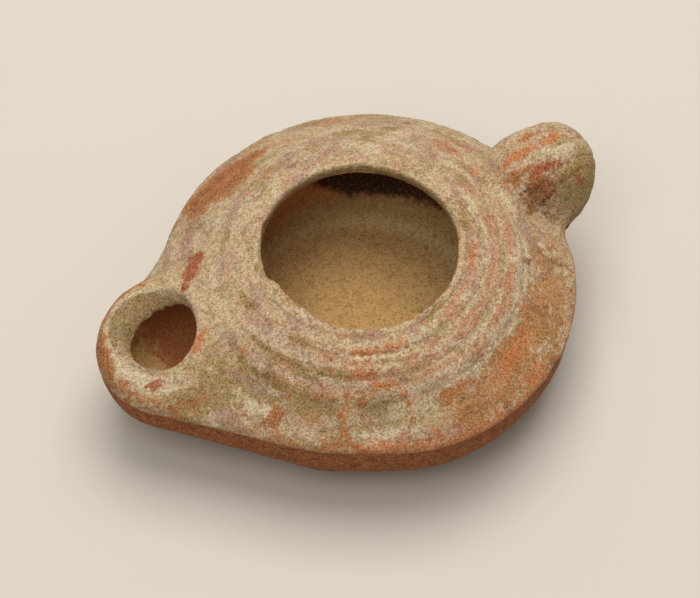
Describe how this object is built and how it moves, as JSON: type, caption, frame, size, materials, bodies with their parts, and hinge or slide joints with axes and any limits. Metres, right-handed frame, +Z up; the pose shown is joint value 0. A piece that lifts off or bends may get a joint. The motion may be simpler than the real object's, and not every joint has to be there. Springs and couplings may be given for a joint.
{
  "type": "roman oil lamp",
  "caption": "Mould-made pottery oil lamp with a hollow round body, wide filling hole, ringed and dimpled shoulder, short nozzle with a bevelled wick hole, and a solid knob handle.",
  "frame": {"origin": "centre of the flat base, on the surface the lamp stands on", "axes": "+Z up, nozzle to -X, knob handle to +X"},
  "size_m": [0.0867, 0.0669, 0.028],
  "materials": {
    "oil_lamp": "matt fired earthenware, buff and encrusted, with worn orange-red slip"
  },
  "bodies": {
    "root": {"oil_lamp": "oil_lamp"}
  },
  "joints": []
}
